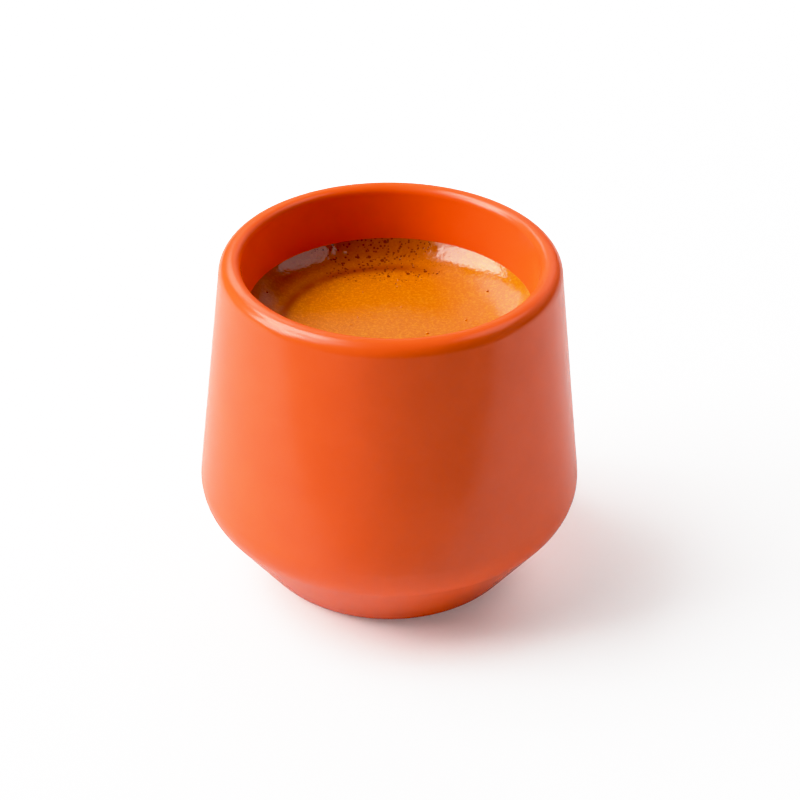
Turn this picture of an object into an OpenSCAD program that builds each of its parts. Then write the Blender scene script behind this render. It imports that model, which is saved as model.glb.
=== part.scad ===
// Espresso in a small thick-walled ceramic cup without a handle.
// Origin: the centre of the resting plane under the foot. +Z is up, millimetres.

/* [Cup outside] */
// Height from the table to the top of the lip
cup_h = 61.2; // [52:0.1:75]
// Outside diameter at the lip, before the lip is rounded
rim_d = 58.1; // [48:0.1:70]
// Outside diameter where the wall and the lower cone meet, before rounding
belly_d = 68; // [56:0.1:82]
// Height of that meeting line above the table
belly_h = 16.2; // [13:0.1:20]
// Outside diameter at the foot, before rounding
foot_d = 43.8; // [36:0.1:50]
// Rounding radius of the belly
belly_round = 7.8; // [2:0.1:9]
// Rounding radius of the foot's edge
foot_round = 6; // [2:0.1:7.5]

/* [Cup wall] */
// Wall thickness at the lip
wall_t = 3.5; // [2.8:0.1:5]
// Rounding radius of the lip's outer edge
lip_out_round = 2.4; // [1:0.1:3]
// Rounding radius of the lip's inner edge
lip_in_round = 1.4; // [0.8:0.1:2]
// Lean of the inner wall, in degrees: the bore narrows downwards
bore_draft = 4.6; // [0:0.1:8]
// Thickness of the base at the middle of the bowl
base_t = 7; // [5:0.1:10]

/* [Foot recess] */
// Diameter of the shallow recess under the foot
recess_d = 27; // [20:0.1:31]
// Depth of the recess
recess_h = 1; // [0.5:0.1:2]
// Lean of the recess's side wall, in degrees
recess_draft = 40; // [20:1:60]

/* [Espresso] */
// Depth of the drink's edge at the wall below the top of the lip
fill_drop = 9.9; // [6:0.1:16]
// Depth of the crema's level middle below its edge, which clings to the wall
dish_depth = 3.4; // [0:0.1:4.5]
// How late the crema turns up to the wall: a higher power keeps more of it level
dish_power = 6; // [3:0.5:10]
// Clearance between the drink and the cup
fit_gap = 0.04; // [0.02:0.01:0.2]

/* [Hidden] */
// Steps along the crema's surface, from the middle to the wall
crema_steps = 24;
// Least width of the level top that is left between the lip's two roundings
lip_land = 0.01;

rim_r = rim_d / 2;
belly_r = belly_d / 2;
foot_r = foot_d / 2;
recess_r = recess_d / 2;
bore_rim_r = rim_r - wall_t;

// The bowl is a ball that touches the leaning bore all round.
bowl_r = cos(bore_draft) * (bore_rim_r - (cup_h - base_t) * tan(bore_draft)) / (1 - sin(bore_draft));
bowl_z = base_t + bowl_r;

// Where the crema's edge touches the wall
edge_z = cup_h - fill_drop;
edge_r = bore_r(edge_z) - fit_gap / cos(bore_draft);

// Radius of the leaning bore at height z
function bore_r(z) = bore_rim_r - (cup_h - z) * tan(bore_draft);

// Unit vector from point a to point b
function toward(a, b) = (b - a) / norm(b - a);

// Inside angle of the corner b between its neighbours a and c
function corner_angle(a, b, c) = acos(toward(b, a) * toward(b, c));

// Distance from the corner b to where a rounding of radius r begins
function tangent_len(a, b, c, r) = r / tan(corner_angle(a, b, c) / 2);

// A rounding of radius r at the corner b: where it leaves either side, and its centre
function rounding(a, b, c, r) =
    let (
        half = corner_angle(a, b, c) / 2,
        u = toward(b, a),
        v = toward(b, c)
    )
    [b + u * r / tan(half), b + v * r / tan(half), b + r / sin(half) * (u + v) / norm(u + v)];

// Corners of the cup's outside, from the recess to the lip
recess_top = [recess_r - recess_h * tan(recess_draft), recess_h];
recess_edge = [recess_r, 0];
foot = [foot_r, 0];
belly = [belly_r, belly_h];
rim_out = [rim_r, cup_h];
rim_in = [bore_rim_r, cup_h];
bore_low = [bore_r(bowl_z), bowl_z];

// The lip's two roundings share the width of the wall.
lip_need = tangent_len(belly, rim_out, rim_in, lip_out_round)
    + tangent_len(rim_out, rim_in, bore_low, lip_in_round);
lip_scale = min(1, (wall_t - lip_land) / lip_need);

// Where the leaning bore touches the ball of the bowl
bowl_touch = [bowl_r * cos(bore_draft), bowl_z - bowl_r * sin(bore_draft)];

// Height of the crema at radius r: level in the middle, turned up at the wall
function crema_z(r) = edge_z - dish_depth * (1 - pow(r / edge_r, dish_power));

// Radii along the crema, closer together where it turns up
function crema_step_r(i) = edge_r * sin(90 * i / crema_steps);

$fn = 128;

// The slice of a disc between a rounding's centre, its start and its end
module pie(round) {
    m = round[2];
    // Far enough for the triangle to pass the whole arc
    reach = 2;
    intersection() {
        translate(m)
            circle(r = norm(round[0] - m));
        polygon([m, m + reach * (round[0] - m), m + reach * (round[1] - m)]);
    }
}

module cup() {
    roundings = [
        rounding(recess_edge, foot, belly, foot_round),
        rounding(foot, belly, rim_out, belly_round),
        rounding(belly, rim_out, rim_in, lip_out_round * lip_scale),
        rounding(rim_out, rim_in, bore_low, lip_in_round * lip_scale)
    ];
    color([0.86, 0.30, 0.10])
        difference() {
            rotate_extrude()
                union() {
                    polygon(concat(
                        [[0, recess_h], recess_top, recess_edge],
                        [for (k = roundings) each [k[0], k[1]]],
                        [bowl_touch, [0, bowl_touch[1]]]
                    ));
                    for (k = roundings)
                        pie(k);
                }
            translate([0, 0, bowl_z])
                sphere(r = bowl_r);
        }
}

module espresso() {
    drink_r = bowl_r - fit_gap;
    touch = [drink_r * cos(bore_draft), bowl_z - drink_r * sin(bore_draft)];
    color([0.80, 0.46, 0.08])
        union() {
            rotate_extrude()
                polygon(concat(
                    [[0, touch[1]], touch],
                    [for (i = [crema_steps:-1:0]) let (r = crema_step_r(i)) [r, crema_z(r)]]
                ));
            intersection() {
                translate([0, 0, bowl_z])
                    sphere(r = drink_r);
                cylinder(h = touch[1], r = belly_r);
            }
        }
}

cup();
espresso();
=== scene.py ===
# %% [markdown]
# # Espresso in a small thick-walled cup
# A shot of espresso is a dark drink under a thin golden foam, the crema. Here it stands in a heavy glazed cup
# with no handle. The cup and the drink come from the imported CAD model, which fixes every size and place.
# This lesson adds what CAD leaves out: light, a glaze, and a crema with dish, ripples, pinholes and beads.

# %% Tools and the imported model
import math

import bpy
import numpy as np
from mathutils import Matrix, Vector


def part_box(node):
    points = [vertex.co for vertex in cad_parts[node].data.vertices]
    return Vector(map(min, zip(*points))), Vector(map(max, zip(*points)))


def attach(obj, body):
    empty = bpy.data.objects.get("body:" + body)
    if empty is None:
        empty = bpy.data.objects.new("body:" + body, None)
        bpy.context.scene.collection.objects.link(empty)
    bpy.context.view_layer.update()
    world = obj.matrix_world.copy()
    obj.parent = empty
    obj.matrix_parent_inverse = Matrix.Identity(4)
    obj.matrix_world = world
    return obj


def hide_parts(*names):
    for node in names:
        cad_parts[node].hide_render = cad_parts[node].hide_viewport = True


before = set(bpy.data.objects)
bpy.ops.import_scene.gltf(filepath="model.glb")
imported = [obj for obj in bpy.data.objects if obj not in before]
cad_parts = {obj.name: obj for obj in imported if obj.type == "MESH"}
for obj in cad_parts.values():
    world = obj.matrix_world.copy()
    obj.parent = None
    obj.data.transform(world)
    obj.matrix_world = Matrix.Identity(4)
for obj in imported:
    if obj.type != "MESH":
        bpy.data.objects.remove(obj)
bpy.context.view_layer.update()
MM = 0.001

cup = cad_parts["cup"]
cup_low, cup_high = (Vector(corner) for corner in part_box("cup"))
drink_low, drink_high = (Vector(corner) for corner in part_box("espresso"))
print("cup:", [round(side / MM, 1) for side in cup_high - cup_low], "mm")
print("drink: from", round(drink_low.z / MM, 1), "up to", round(drink_high.z / MM, 1), "mm")

# %% [markdown]
# ## Camera
# A product picture of a small cup is taken with a long lens, from about 40 cm, looking down by about a third
# of a right angle. A camera could be placed by its coordinates, but it is easiest to keep right when it is
# built from its aim, its distance and two angles, because each of them means one thing.

# %% Camera
aim_shift = Vector((1.8, 1.12, 1.12)) * MM
camera_aim = (cup_low + cup_high) / 2 + aim_shift
camera_distance = 400 * MM
camera_turn = -90.31
camera_rise = 32.9
camera_roll = 0.61
camera_lens = 101.83


def direction(turn, rise):
    """Unit vector at the angle turn round +Z, counted from +X, and the angle rise above the table."""
    turn, rise = math.radians(turn), math.radians(rise)
    return Vector((math.cos(turn) * math.cos(rise), math.sin(turn) * math.cos(rise), math.sin(rise)))


def facing(place, aim, roll=0.0):
    """Matrix of an object at place whose own -Z looks at aim, turned by roll about that line."""
    look = (aim - place).to_track_quat("-Z", "Y").to_matrix()
    turned = look @ Matrix.Rotation(math.radians(roll), 3, "Z")
    return Matrix.Translation(place) @ turned.to_4x4()


camera_data = bpy.data.cameras.new("camera")
camera_data.lens = camera_lens
camera = bpy.data.objects.new("camera", camera_data)
camera_place = camera_aim + camera_distance * direction(camera_turn, camera_rise)
camera.matrix_world = facing(camera_place, camera_aim, camera_roll)
bpy.context.scene.collection.objects.link(camera)
bpy.context.scene.camera = camera
print("camera at", [round(side / MM, 1) for side in camera_place], "mm")

# %% [markdown]
# ## Shader trees as sums
# A material is a tree of nodes, and long trees are hard to read as lists of links. One small class wraps a
# socket and overloads the operators, so that `1 - mask` adds a Math node. Colours go through Mix nodes,
# because a Math node would turn a colour grey.

# %% A wire of a shader tree
class Wire:
    """The output socket of a node, which can be used in a formula like a number."""

    def __init__(self, tree, socket=None):
        self.tree = tree
        self.socket = socket

    def node(self, kind, settings=None, inputs=None, output=0):
        """Adds a node, sets its settings and then its inputs, and gives the wire from one of its outputs."""
        made = self.tree.nodes.new(kind)
        for name, value in (settings or {}).items():
            setattr(made, name, value)
        for name, value in (inputs or {}).items():
            if isinstance(value, Wire):
                self.tree.links.new(value.socket, made.inputs[name])
            else:
                made.inputs[name].default_value = value
        return Wire(self.tree, made.outputs[output]) if made.outputs else None

    def maths(self, operation, *values):
        return self.node("ShaderNodeMath", {"operation": operation}, dict(enumerate(values)))

    def __add__(self, other):
        return self.maths("ADD", self, other)

    def __radd__(self, other):
        return self.maths("ADD", other, self)

    def __sub__(self, other):
        return self.maths("SUBTRACT", self, other)

    def __rsub__(self, other):
        return self.maths("SUBTRACT", other, self)

    def __mul__(self, other):
        return self.maths("MULTIPLY", self, other)

    def __rmul__(self, other):
        return self.maths("MULTIPLY", other, self)

    def step(self, low, high):
        """0 below low, 1 above high, and an even S curve between them; high may be the lower of the two."""
        falls = low > high
        return self.node("ShaderNodeMapRange", {"interpolation_type": "SMOOTHSTEP"}, {
            "Value": self,
            "From Min": min(low, high), "From Max": max(low, high),
            "To Min": 1.0 if falls else 0.0, "To Max": 0.0 if falls else 1.0,
        })

    def places(self):
        """Object coordinates, their x and y, and the distance from the upright axis, root of x*x + y*y."""
        place = self.node("ShaderNodeTexCoord", None, None, "Object")
        across = self.node("ShaderNodeSeparateXYZ", None, {"Vector": place}, "X")
        away = self.node("ShaderNodeSeparateXYZ", None, {"Vector": place}, "Y")
        return place, across, away, self.maths("SQRT", across * across + away * away)

    def noise(self, place, size, detail=2.0, roughness=0.5):
        """Soft noise, 0 to 1, whose blots are about size metres across."""
        return self.node("ShaderNodeTexNoise", None, {
            "Vector": place, "Scale": 1 / size, "Detail": detail, "Roughness": roughness,
        })

    def cells(self, place, size):
        """Distance to the nearest of many random points about size metres apart, counted in that size."""
        return self.node("ShaderNodeTexVoronoi", None, {"Vector": place, "Scale": 1 / size})

    def blend(self, first, second, amount):
        """The colour first where amount is 0 and second where it is 1."""
        return self.node("ShaderNodeMix", {"data_type": "RGBA"}, {0: amount, 6: first, 7: second}, 2)


def new_material(name):
    """An empty material, and a wire to start its tree from."""
    material = bpy.data.materials.new(name)
    material.use_nodes = True
    material.node_tree.nodes.clear()
    return material, Wire(material.node_tree)


def rgb(red, green, blue):
    return (red, green, blue, 1)


# %% [markdown]
# ## Tone curve
# A camera does not show light as it is: it lets the deepest shade go black, and it bends the brightest light
# towards white. The bend works on red, green and blue apart, so a red-orange glaze turns orange where it is
# bright. The curve is straight up to a knee, and above it comes closer and closer to 1.

# %% View
scene = bpy.context.scene
tone_black = 0.012
tone_knee = 0.7
tone_white = 2.0
tone_room = 1 - tone_knee


def shown(level):
    """The level itself up to the knee, then knee + room * (1 - e to the power of (knee - level) / room)."""
    if level <= tone_knee:
        return level
    return tone_knee + tone_room * (1 - math.exp((tone_knee - level) / tone_room))


view = scene.view_settings
view.view_transform = "Standard"
view.look = "None"
view.use_curve_mapping = True
view.curve_mapping.black_level = (tone_black, tone_black, tone_black)
view.curve_mapping.white_level = (tone_white, tone_white, tone_white)
tone_levels = (0.0, 0.35, tone_knee, 0.8, 0.95, 1.15, 1.45)
tone_points = [(level, shown(level)) for level in tone_levels]
tone_points.append((tone_white, 1.0))

# Of the four curves, this is the one that red, green and blue share
curve = view.curve_mapping.curves[3]
while len(curve.points) < len(tone_points):
    curve.points.new(0.5, 0.5)
for point, (level, value) in zip(curve.points, tone_points):
    point.location = (level / tone_white, value)

# Straight handles at the two lowest points keep the dark end of the curve straight
for point in curve.points[:2]:
    point.handle_type = "VECTOR"
view.curve_mapping.update()
print("tone curve:", [(round(level, 2), round(value, 2)) for level, value in tone_points])

# %% [markdown]
# ## White room
# Behind the cup everything is white. If that white also lit the cup, it would wash out its colour, so only
# the camera sees it: rays that leave the cup find a dark room with lamps in it.

# %% World
paper_white = tone_white + tone_black
world = bpy.data.worlds.new("studio")
scene.world = world
world.use_nodes = True
world.node_tree.nodes.clear()
sky = Wire(world.node_tree)
glow = sky.node("ShaderNodeBackground", None, {"Color": rgb(1, 1, 1), "Strength": paper_white})
sky.node("ShaderNodeOutputWorld", None, {"Surface": glow})
world.cycles_visibility.diffuse = False
world.cycles_visibility.glossy = False
print("world:", round(paper_white, 3), "for the camera, dark for every other ray")

# %% [markdown]
# ## Softboxes
# The crema is wet, so it mirrors the lamps: their places and sizes decide the shapes of its bright patches.
# A large softbox stands high at the left, more light comes from the left front, a weak one stands high at the
# right, and pale screens stand behind. Each is given by where it stands as seen from the drink, in degrees,
# and by how bright its face is. The power of an area lamp is brightness * pi * the area of its face.

# %% Softboxes
drink_centre = Vector((0, 0, drink_high.z))
lamp_distance = 1.0

# Name, turn, rise, width, height, brightness
mirrored_lamps = [
    ("key", 160, 57, 28, 30, 10.6),
    ("front_left", 205, 48, 24, 36, 4.0),
    ("side_left", 187, 31, 30, 32, 9.4),
    ("fill", 14, 54, 32, 25, 1.5),
    ("wall_high", 90, 30, 60, 16, 0.37),
    ("back_left", 116, 39, 22, 24, 2.8),
    ("back_right", 55, 32, 30, 12, 0.2),
]

# These light matt surfaces only: as mirror images they would draw white lines along the rim
matt_lamps = [
    ("wall_low", 90, 12, 60, 20, 5.0),
    ("side_right", 0, 20, 50, 30, 0.95),
    ("wall_right", 60, 25, 60, 30, 3.0),
    ("far_left", 175, 16, 50, 24, 2.8),
]


def softbox(name, turn, rise, width, height, brightness):
    """A lit rectangle seen from the drink at the angles turn and rise; width and height are angles too."""
    data = bpy.data.lights.new(name, "AREA")
    data.shape = "RECTANGLE"
    data.size = 2 * lamp_distance * math.tan(math.radians(width / 2))
    data.size_y = 2 * lamp_distance * math.tan(math.radians(height / 2))
    data.energy = brightness * math.pi * data.size * data.size_y
    lamp = bpy.data.objects.new(name, data)
    lamp.matrix_world = facing(drink_centre + lamp_distance * direction(turn, rise), drink_centre)
    lamp.visible_camera = False
    scene.collection.objects.link(lamp)
    print(name, "is", round(data.size, 2), "by", round(data.size_y, 2), "m")
    return lamp


for row in mirrored_lamps:
    softbox(*row)
for row in matt_lamps:
    softbox(*row).visible_glossy = False

# %% [markdown]
# ## Paper
# The cup stands on matt white paper that is lit until it is almost pure white, so only the shadow shows.
# Away from the cup the paper fades into plain white light, so that no lamp's edge shows on it.

# %% Paper material
fibre_size = 0.6 * MM


def paper(name, white, glow, plain_from):
    """Matt white paper with fine fibres, which from the radius plain_from outwards turns into white light."""
    material, tree = new_material(name)
    place, _, _, radius = tree.places()
    fibres = tree.noise(place, fibre_size, detail=3)
    bumps = tree.node("ShaderNodeBump", None, {"Strength": 0.4, "Distance": 0.05 * MM, "Height": fibres})
    lit = tree.node("ShaderNodeBsdfPrincipled", None, {
        "Base Color": rgb(white, white, white), "Roughness": 0.9, "Specular IOR Level": 0.0, "Normal": bumps,
        "Emission Color": rgb(1, 1, 1), "Emission Strength": glow,
    })
    plain = tree.node("ShaderNodeEmission", None, {"Color": rgb(1, 1, 1), "Strength": paper_white})
    fade = radius.step(plain_from, 2 * plain_from)
    surface = tree.node("ShaderNodeMixShader", None, {0: fade, 1: lit, 2: plain})
    tree.node("ShaderNodeOutputMaterial", None, {"Surface": surface})
    return material


# %% [markdown]
# ## Three sheets
# One sheet can't do three jobs. The first is lit and takes the shadow. The second reaches to the horizon, a
# hair lower, for the camera only. The third is seen only in the glaze, like the table's edge in a studio: it
# stops in front of the cup, so the cup's middle mirrors dark space while both its edges mirror pale paper.

# %% Sheets
def sheet(name, half, front, z, material):
    """A level square sheet at height z that reaches half to each side, but only front towards the camera."""
    corners = [(-half, -front, z), (half, -front, z), (half, half, z), (-half, half, z)]
    mesh = bpy.data.meshes.new(name)
    mesh.from_pydata(corners, [], [(0, 1, 2, 3)])
    mesh.materials.append(material)
    made = bpy.data.objects.new(name, mesh)
    scene.collection.objects.link(made)
    print(name, "is", round(2 * half, 2), "m wide")
    return made


lit_half = 0.35
far_half = 3.0
mirrored_front = 75 * MM
plain_from = 0.16
white_paper = paper("white_paper", 0.86, 0.14, plain_from)
mirrored_paper = paper("mirrored_paper", 0.50, 0, far_half)

floor = sheet("floor", lit_half, lit_half, 0, white_paper)
floor.visible_glossy = False
floor.visible_shadow = False

far_floor = sheet("far_floor", far_half, far_half, -0.05 * MM, white_paper)
far_floor.visible_diffuse = False
far_floor.visible_glossy = False
far_floor.visible_shadow = False

mirrored_floor = sheet("mirrored_floor", far_half, mirrored_front, 0.02 * MM, mirrored_paper)
mirrored_floor.visible_camera = False
mirrored_floor.visible_diffuse = False
mirrored_floor.visible_shadow = False

# %% [markdown]
# ## Glaze
# The cup is stoneware under an opaque orange glaze. Fired glaze is smooth but not flat: it is a little
# mottled, and it waves very slightly, like the skin of an orange. The CAD shape is right, so it stays and
# only gets a better material, with the mottling and the waves from noise in object coordinates.

# %% Glaze material
glaze, tree = new_material("orange_glaze")
place = tree.node("ShaderNodeTexCoord", None, None, "Object")
cloud_size = 9 * MM
speck_size = 1.1 * MM
wave_size = 6 * MM
peel_size = 1.3 * MM
clouds = tree.noise(place, cloud_size, detail=3)
specks = tree.noise(place, speck_size, detail=2)
deep = rgb(0.69, 0.080, 0.013)
light = rgb(0.74, 0.089, 0.015)
colour = tree.blend(deep, light, clouds.step(0.3, 0.7) * 0.6 + specks * 0.4)
waves = tree.noise(place, wave_size, detail=1)
orange_peel = tree.noise(place, peel_size, detail=2)
relief = waves + orange_peel * 0.08
bumps = tree.node("ShaderNodeBump", None, {"Strength": 0.3, "Distance": 0.10 * MM, "Height": relief})
surface = tree.node("ShaderNodeBsdfPrincipled", None, {
    "Base Color": colour,
    "Roughness": 0.19 + 0.05 * clouds,
    "IOR": 1.42,
    "Normal": bumps,
})
tree.node("ShaderNodeOutputMaterial", None, {"Surface": surface})
cup.data.materials.clear()
cup.data.materials.append(glaze)
print("glaze on the cup:", len(glaze.node_tree.nodes), "nodes")

# %% [markdown]
# ## Crema, its shape
# The drink clings to the wall and sags in the middle, so its top is a shallow dish: level almost all over,
# and turning up near the wall. A wet dish mirrors the studio in curved bands, which a flat disc can't do.
# The shape is a surface on rings and spokes: height = the dish + slow swells + fine ripples - a few pits.

# %% Height of the crema
edge_r = drink_high.x
edge_z = drink_high.z
dish_depth = 3.4 * MM
dish_power = 6
calm_width = 3 * MM
swell_height = 0.020 * MM
swell_length = 14 * MM
ripple_height = 0.0026 * MM
ripple_length = 1.9 * MM
pit_depth = 0.45

# x, y and radius of each large bubble that burst and left a pit, which is pit_depth of that radius deep
large_bubbles = [
    (8.4 * MM, 22.3 * MM, 0.5 * MM),
    (-9.6 * MM, 21.9 * MM, 0.6 * MM),
    (-11.2 * MM, 21.4 * MM, 0.4 * MM),
    (-7.8 * MM, 21.6 * MM, 0.4 * MM),
]


def waves_of(x, y, size, count, seed):
    """Sum of count sines of the way along random headings, 0.7 to 1.4 size long, over the root of count."""
    random = np.random.default_rng(seed)
    heading = random.uniform(0, 2 * np.pi, count)
    length = size * random.uniform(0.7, 1.4, count)
    phase = random.uniform(0, 2 * np.pi, count)
    total = np.zeros_like(x)
    for angle, step, start in zip(heading, length, phase):
        total += np.sin(2 * np.pi / step * (x * np.cos(angle) + y * np.sin(angle)) + start)
    return total / math.sqrt(count)


def dish_height(r):
    """edge_z, less dish_depth times one minus r / edge_r to the power of dish_power."""
    return edge_z - dish_depth * (1 - (r / edge_r) ** dish_power)


def crema_height(x, y):
    """The dish, plus slow swells that die out at the wall, plus ripples, less a bell-shaped pit a bubble."""
    r = np.hypot(x, y)
    calm = np.clip((edge_r - r) / calm_width, 0, 1)
    swell = swell_height * waves_of(x, y, swell_length, count=6, seed=11)
    ripple = ripple_height * waves_of(x, y, ripple_length, count=24, seed=12)
    pits = sum(
        pit_depth * size * np.exp(-((x - u) ** 2 + (y - v) ** 2) / size**2) for u, v, size in large_bubbles
    )
    return dish_height(r) + calm * swell + ripple - pits


middle_z = float(crema_height(np.zeros(1), np.zeros(1))[0])
print("crema: edge at", round(edge_z / MM, 2), "mm, middle at", round(middle_z / MM, 2), "mm")

# %% [markdown]
# ## From rings to a mesh
# Every new piece here is a stack of closed rings with a point at each end. All its faces turn outwards: quads
# between neighbouring rings, and a fan of triangles from the point at either end.

# %% Mesh helpers
def grid_faces(rows, columns):
    """Quads between the rows of a grid whose last column joins the first, turned to face up and outwards."""
    row, column = np.meshgrid(np.arange(rows - 1), np.arange(columns), indexing="ij")
    following = (column + 1) % columns
    corners = [
        row * columns + column,
        (row + 1) * columns + column,
        (row + 1) * columns + following,
        row * columns + following,
    ]
    return np.stack(corners, axis=-1).reshape(-1, 4)


def fan_faces(tip, first, columns, upwards):
    """Triangles from a tip to a closed ring of points that starts at the point first."""
    column = np.arange(columns)
    here, there = first + column, first + (column + 1) % columns
    order = [np.full(columns, tip), here, there] if upwards else [np.full(columns, tip), there, here]
    return np.stack(order, axis=-1)


def stack_faces(rows, columns):
    """Faces of one closed skin: rows rings of columns points, then the top point, then the bottom point."""
    top = rows * columns
    return (
        grid_faces(rows, columns).tolist()
        + fan_faces(top, 0, columns, True).tolist()
        + fan_faces(top + 1, (rows - 1) * columns, columns, False).tolist()
    )


def new_piece(name, points, faces, material):
    """A smooth-shaded mesh object at the origin, riding on the only body."""
    mesh = bpy.data.meshes.new(name)
    mesh.from_pydata(points.tolist(), [], faces)
    mesh.polygons.foreach_set("use_smooth", np.ones(len(mesh.polygons), bool))
    mesh.materials.append(material)
    mesh.validate()
    piece = bpy.data.objects.new(name, mesh)
    scene.collection.objects.link(piece)
    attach(piece, "root")
    print(name, "has", len(mesh.polygons), "faces")
    return piece


# %% [markdown]
# ## Crema, its colour
# Crema is foam with fine coffee grounds in it. Its amber is broken up by a grain of about half a millimetre,
# with thin brown threads where the noise crosses its middle. Towards the far left wall it is browner: partly
# the crema's own brown, as it is thinner there, and partly painted shade for the shadow that the wall casts
# on the drink. A thin dark streak follows where the dish starts to rise. Colour from noise costs nothing, and
# a foam made of real bubbles would need millions of faces.

# %% Crema colour
crema, tree = new_material("crema")
place, across, away, radius = tree.places()

amber = rgb(0.60, 0.170, 0.009)
# The crema's own dark brown, which also paints shade near the far left wall
toast_and_shade = rgb(0.25, 0.042, 0.005)
straw = rgb(0.64, 0.22, 0.014)
pit = rgb(0.12, 0.018, 0.002)

blotch_size = 6 * MM
grain_size = 0.5 * MM
thread_width = 0.07
clouds = tree.noise(place, blotch_size, detail=4, roughness=0.6)
grain = tree.noise(place, grain_size, detail=2, roughness=0.6)
threads = tree.maths("ABSOLUTE", grain - 0.5).step(thread_width, 0)

# How far a point lies from the axis towards the far left, along the level line (-0.6, 0.8)
far_left = away * 0.8 - across * 0.6
# Brown side near the far left wall: partly thinner crema, partly painted shade for the wall's shadow
brown_and_shaded_edge = radius.step(14 * MM, 23 * MM) * far_left.step(3 * MM, 17 * MM)
streak_from = 17 * MM
streak_middle = 18.6 * MM
streak_to = 20.4 * MM
streak_rise = radius.step(streak_from, streak_middle)
streak_fall = radius.step(streak_to, streak_middle)
streak = streak_rise * streak_fall * far_left.step(6 * MM, 15 * MM)

# Pale clouds on amber, then brown threads and grain, then the brown side, which is partly painted shade, then
# the streak
colour = tree.blend(amber, straw, clouds.step(0.45, 0.75) * 0.35)
colour = tree.blend(colour, toast_and_shade, threads * 0.45 + grain.step(0.48, 0.72) * 0.5)
colour = tree.blend(colour, toast_and_shade, brown_and_shaded_edge * (0.55 + 0.4 * clouds))
colour = tree.blend(colour, toast_and_shade, streak * clouds.step(0.1, 0.5) * 0.95)
print("crema's colour:", len(crema.node_tree.nodes), "nodes so far")

# %% [markdown]
# ## Pinholes and gloss
# Where small bubbles have burst, the crema has pinholes, most of them along the far wall. A pinhole is the
# place round a random cell's centre that is nearer than the size of the holes there. The same mask sinks the
# surface a little, and ripples and grain in the bump crinkle the edges of every highlight.

# %% Pinholes and surface
small_cell = 0.7 * MM
large_cell = 2.1 * MM

# Radius of a hole and width of its soft edge, counted in its cell's size
small_hole = 0.075
small_edge = 0.08
large_hole = 0.03
large_edge = 0.03

# How much is added to that radius along the far wall
small_growth = 0.26
large_growth = 0.15
far_zone = away.step(10 * MM, 18 * MM) * across.step(14 * MM, 5 * MM) * across.step(-17 * MM, -11 * MM)
small_r = small_hole + small_growth * far_zone * clouds.step(0.2, 0.6)
large_r = large_hole + large_growth * far_zone
small_holes = (small_r - tree.cells(place, small_cell)).step(0, small_edge)
large_holes = (large_r - tree.cells(place, large_cell)).step(0, large_edge)
pinholes = tree.maths("MAXIMUM", small_holes, large_holes)
colour = tree.blend(colour, pit, pinholes * 0.9)

ripple_size = 0.8 * MM
relief_depth = 0.046 * MM
ripples = tree.noise(place, ripple_size, detail=2)
relief = ripples + grain * 0.3 - pinholes * 1.5
bumps = tree.node("ShaderNodeBump", None, {"Strength": 1.0, "Distance": relief_depth, "Height": relief})
surface = tree.node("ShaderNodeBsdfPrincipled", None, {
    "Base Color": colour,
    "Roughness": 0.08,
    "IOR": 1.45,
    "Normal": bumps,
})
tree.node("ShaderNodeOutputMaterial", None, {"Surface": surface})
print("crema:", len(crema.node_tree.nodes), "nodes")

# %% [markdown]
# ## Drink
# The crema and the drink under it are one closed piece, so that no gap shows at the wall. The top is rings
# that crowd together towards the wall, where the dish bends. Past its edge the skin follows the inside of the
# cup, a hair inside the wall: first a leaning side, then a ball that touches the CAD drink's lowest point.

# %% Drink with crema
ring_count = 140
spoke_count = 400
side_rings = 9
bowl_rings = 14
into_wall = 0.12 * MM
edge_lift = 0.1 * MM
wall_lean = math.radians(4.6)

angle = np.linspace(0, 2 * np.pi, spoke_count, endpoint=False)
top_r = edge_r * np.sin(np.linspace(0, np.pi / 2, ring_count + 1))[1:]
top_x = np.outer(top_r, np.cos(angle))
top_y = np.outer(top_r, np.sin(angle))
top_z = crema_height(top_x, top_y)

drop = edge_z - drink_low.z
ball_r = math.cos(wall_lean) * (edge_r - drop * math.tan(wall_lean)) / (1 - math.sin(wall_lean))
ball_z = drink_low.z + ball_r
side_z = np.linspace(edge_z + edge_lift, ball_z - ball_r * math.sin(wall_lean), side_rings)
side_r = edge_r + into_wall - (edge_z - side_z) * math.tan(wall_lean)
bend = np.linspace(-wall_lean, -np.pi / 2, bowl_rings + 2)[1:-1]
under_r = np.concatenate([side_r, (ball_r + into_wall) * np.cos(bend)])
under_z = np.concatenate([side_z, ball_z + (ball_r + into_wall) * np.sin(bend)])

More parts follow.
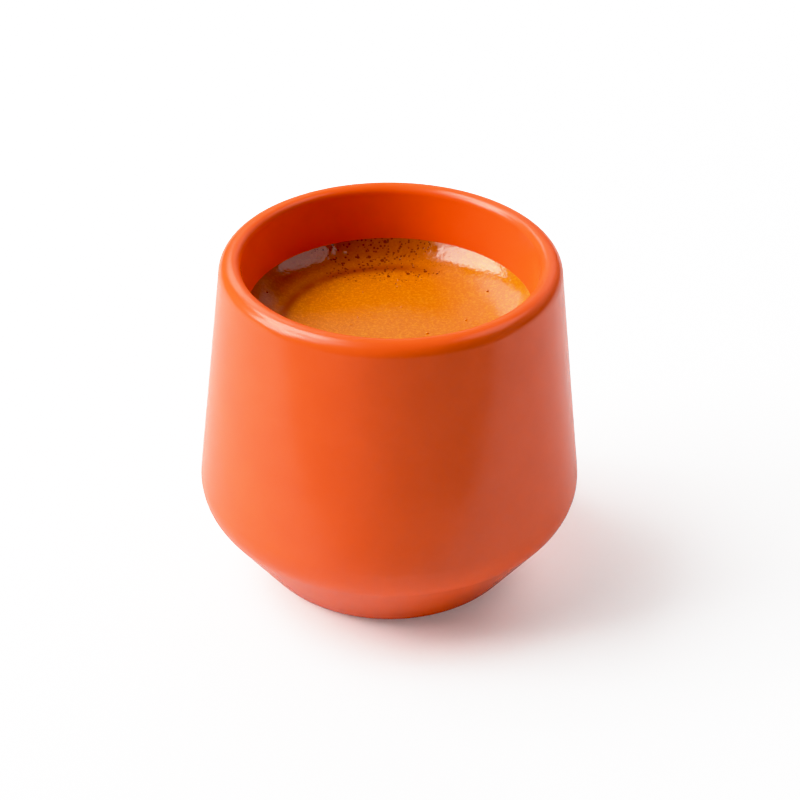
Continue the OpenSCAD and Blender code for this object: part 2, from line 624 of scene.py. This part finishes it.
rings_x = np.vstack([top_x, np.outer(under_r, np.cos(angle))])
rings_y = np.vstack([top_y, np.outer(under_r, np.sin(angle))])
rings_z = np.vstack([top_z, np.outer(under_z, np.ones(spoke_count))])
rings = np.stack([rings_x, rings_y, rings_z], axis=-1).reshape(-1, 3)
lowest_z = ball_z - ball_r - into_wall
points = np.concatenate([rings, [(0, 0, middle_z)], [(0, 0, lowest_z)]])
drink = new_piece("drink_with_crema", points, stack_faces(len(rings_x), spoke_count), crema)
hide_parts("espresso")

# %% [markdown]
# ## Beads
# A few larger bubbles stand on a crema as tiny glossy beads. They are too few for a texture and each one
# catches the light, so they are made as small balls, half sunk in the surface: one ball's rings, scaled and
# moved to every place at once.

# %% Beads
bead_count = 26
bead_rings = 7
bead_spokes = 10

# Radius of the smallest bead, and how much more the largest can have, in millimetres
least_bead = 0.11
bead_growth = 0.17

# The root of a share of the area spreads the beads evenly, clear of the very middle and of the wall
random = np.random.default_rng(5)
bead_r = edge_r * np.sqrt(random.uniform(0.02, 0.94, bead_count))
bead_angle = random.uniform(0, 2 * np.pi, bead_count)
bead_size = (least_bead + bead_growth * random.uniform(0, 1, bead_count) ** 3) * MM
bead_x, bead_y = bead_r * np.cos(bead_angle), bead_r * np.sin(bead_angle)
centres = np.stack([bead_x, bead_y, crema_height(bead_x, bead_y)], axis=-1)

down = np.linspace(0, np.pi, bead_rings + 2)[1:-1]
around = np.linspace(0, 2 * np.pi, bead_spokes, endpoint=False)
ball_x = np.outer(np.sin(down), np.cos(around))
ball_y = np.outer(np.sin(down), np.sin(around))
ball_height = np.outer(np.cos(down), np.ones(bead_spokes))
ball = np.stack([ball_x, ball_y, ball_height], axis=-1).reshape(-1, 3)
ball = np.concatenate([ball, [(0, 0, 1)], [(0, 0, -1)]])
ball_faces = stack_faces(bead_rings, bead_spokes)

points = (centres[:, None, :] + bead_size[:, None, None] * ball[None, :, :]).reshape(-1, 3)
faces = [[corner + bead * len(ball) for corner in face] for bead in range(bead_count) for face in ball_faces]
new_piece("crema_beads", points, faces, crema)
